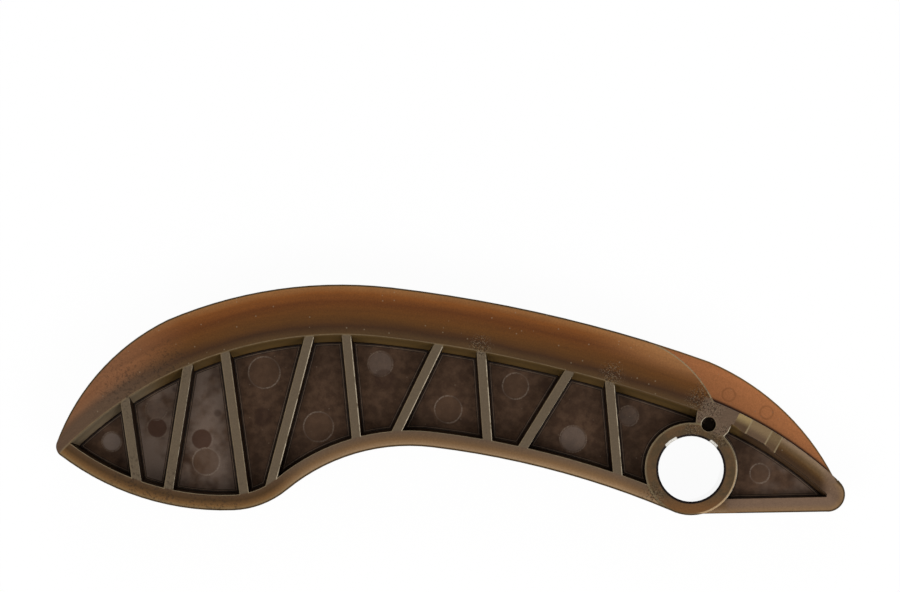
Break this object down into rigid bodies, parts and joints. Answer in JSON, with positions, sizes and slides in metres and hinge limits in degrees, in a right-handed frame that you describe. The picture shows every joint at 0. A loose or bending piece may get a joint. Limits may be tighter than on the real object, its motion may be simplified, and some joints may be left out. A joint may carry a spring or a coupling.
{
  "type": "timing chain guide",
  "caption": "Curved one-piece plastic timing chain guide: a channelled slide face between two lips on a ribbed I-section rail, with a pivot boss at one end.",
  "frame": {"origin": "on the axis of the pivot bore, at the back face on which the guide lies", "axes": "+Z along the bore towards the front face, +X along the rail from the nose to the pivot, +Y towards the chain"},
  "size_m": [0.1448, 0.0423, 0.017],
  "materials": {
    "polyamide": "semi-gloss"
  },
  "bodies": {
    "root": {"guide_rail": "polyamide"}
  },
  "joints": []
}
